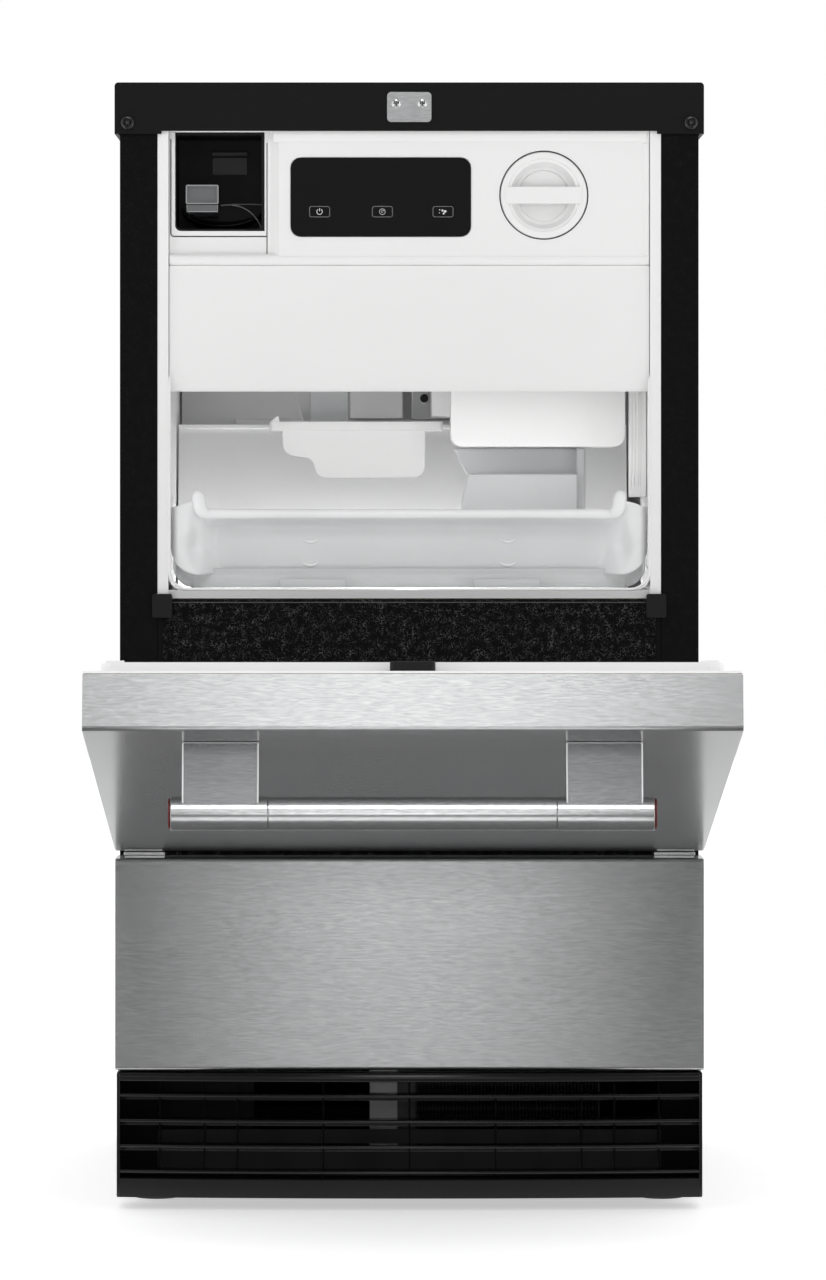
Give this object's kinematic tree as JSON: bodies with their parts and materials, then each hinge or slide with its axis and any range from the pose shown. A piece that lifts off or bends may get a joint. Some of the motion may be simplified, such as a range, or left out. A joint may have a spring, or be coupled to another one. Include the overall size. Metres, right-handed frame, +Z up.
{
  "type": "undercounter ice maker",
  "caption": "Tall narrow built-in ice maker with a tilt-down insulated door, bar handle, white ice bin, control strip, filter and louvred toe grille.",
  "frame": {"origin": "centre of the footprint of the whole part with its door open, on the floor under the retracted legs", "axes": "+Z up, the door and controls face -Y, +X to the right when looking at the front"},
  "size_m": [0.452, 1.1634, 0.859],
  "materials": {
    "black_paint": "satin powder coat",
    "black_plastic": "moulded, satin",
    "black_grain": "leather-grain emboss, satin",
    "gloss_black": "gloss",
    "white_plastic": "moulded, satin",
    "milky_plastic": "translucent, satin",
    "smoky_plastic": "smoky translucent gloss",
    "grey_plastic": "moulded, satin",
    "stainless": "horizontal brushed",
    "bright_steel": "fine brushed",
    "zinc": "zinc-plated sheet",
    "red_ring": "satin",
    "gasket": "soft vinyl, matte",
    "foam": "rigid foam, matte",
    "dark_metal": "satin",
    "coil": "coated fins"
  },
  "bodies": {
    "cabinet": {"cabinet_wrapper": "black_paint", "top_cap": "black_paint", "strike_plate": "bright_steel", "back_panel": "zinc", "base_pan": "zinc", "bin_liner": "white_plastic", "cabinet_foam": "foam", "chin_panel": "black_grain", "lower_front_panel": "stainless", "toe_grille": "gloss_black", "control_housing": "white_plastic", "control_overlay": "gloss_black", "scoop_holder": "black_plastic", "evaporator_plate": "bright_steel", "cutter_grid": "white_plastic", "water_pan": "white_plastic", "pump_housing": "white_plastic", "sump_body": "milky_plastic", "ice_deflector": "grey_plastic", "pan_bracket": "milky_plastic", "bin_sensor": "grey_plastic", "wall_rail": "white_plastic", "compressor": "dark_metal", "condenser": "coil", "fan_shroud": "black_plastic", "fan_motor": "zinc", "wiring_box": "zinc", "corner_block_left": "black_plastic", "cap_screw_left": "dark_metal", "hinge_bracket_left": "bright_steel", "hinge_pin_left": "bright_steel", "corner_block_right": "black_plastic", "cap_screw_right": "dark_metal", "hinge_bracket_right": "bright_steel", "hinge_pin_right": "bright_steel"},
    "door": {"door_skin": "stainless", "door_foam": "foam", "door_liner": "white_plastic", "door_gasket": "gasket", "door_latch": "black_plastic", "handle_grip": "bright_steel", "hinge_leaf_left": "bright_steel", "handle_end_left": "bright_steel", "handle_cap_left": "red_ring", "hinge_leaf_right": "bright_steel", "handle_end_right": "bright_steel", "handle_cap_right": "red_ring"},
    "filter": {"filter_cartridge": "white_plastic"},
    "filter_cap": {"filter_cap": "white_plastic"},
    "scoop": {"ice_scoop": "smoky_plastic"},
    "evaporator_cover": {"evaporator_cover": "white_plastic"},
    "bin_baffle": {"bin_baffle": "milky_plastic"},
    "fan": {"fan_blade": "black_plastic"},
    "button_power": {"button_power": "gloss_black"},
    "button_clean": {"button_clean": "gloss_black"},
    "button_max_ice": {"button_max_ice": "gloss_black"},
    "leg_front_left": {"leg_front_left": "dark_metal"},
    "leg_front_right": {"leg_front_right": "dark_metal"},
    "leg_rear_left": {"leg_rear_left": "dark_metal"},
    "leg_rear_right": {"leg_rear_right": "dark_metal"}
  },
  "joints": [
    {"name": "door_hinge", "type": "hinge", "parent": "cabinet", "child": "door", "pos_m": [0, -0.0163, 0.281], "axis": [1, 0, 0], "range_deg": [-79, 0]},
    {"name": "filter_pull", "type": "slide", "parent": "cabinet", "child": "filter", "axis": [0, -1, 0], "range_m": [0, 0.26]},
    {"name": "filter_turn", "type": "hinge", "parent": "filter", "child": "filter_cap", "pos_m": [0.1033, 0.0313, 0.7727], "axis": [0, -1, 0], "range_deg": [0, 90]},
    {"name": "scoop_pull", "type": "slide", "parent": "cabinet", "child": "scoop", "axis": [0, -1, 0], "range_m": [0, 0.12]},
    {"name": "cover_pull", "type": "slide", "parent": "cabinet", "child": "evaporator_cover", "axis": [0, -1, 0], "range_m": [0, 0.1]},
    {"name": "baffle_pull", "type": "slide", "parent": "cabinet", "child": "bin_baffle", "axis": [0, -1, 0], "range_m": [0, 0.1]},
    {"name": "fan_spin", "type": "hinge", "parent": "cabinet", "child": "fan", "pos_m": [0.0765, 0.1747, 0.124], "axis": [0, -1, 0], "continuous": true},
    {"name": "press_power", "type": "slide", "parent": "cabinet", "child": "button_power", "axis": [0, 1, 0], "range_m": [0, 0.001], "stiffness_N_per_m": 800},
    {"name": "press_clean", "type": "slide", "parent": "cabinet", "child": "button_clean", "axis": [0, 1, 0], "range_m": [0, 0.001], "stiffness_N_per_m": 800},
    {"name": "press_max_ice", "type": "slide", "parent": "cabinet", "child": "button_max_ice", "axis": [0, 1, 0], "range_m": [0, 0.001], "stiffness_N_per_m": 800},
    {"name": "leg_front_left_screw", "type": "slide", "parent": "cabinet", "child": "leg_front_left", "axis": [0, 0, -1], "range_m": [0, 0.025]},
    {"name": "leg_front_right_screw", "type": "slide", "parent": "cabinet", "child": "leg_front_right", "axis": [0, 0, -1], "range_m": [0, 0.025]},
    {"name": "leg_rear_left_screw", "type": "slide", "parent": "cabinet", "child": "leg_rear_left", "axis": [0, 0, -1], "range_m": [0, 0.025]},
    {"name": "leg_rear_right_screw", "type": "slide", "parent": "cabinet", "child": "leg_rear_right", "axis": [0, 0, -1], "range_m": [0, 0.025]}
  ]
}
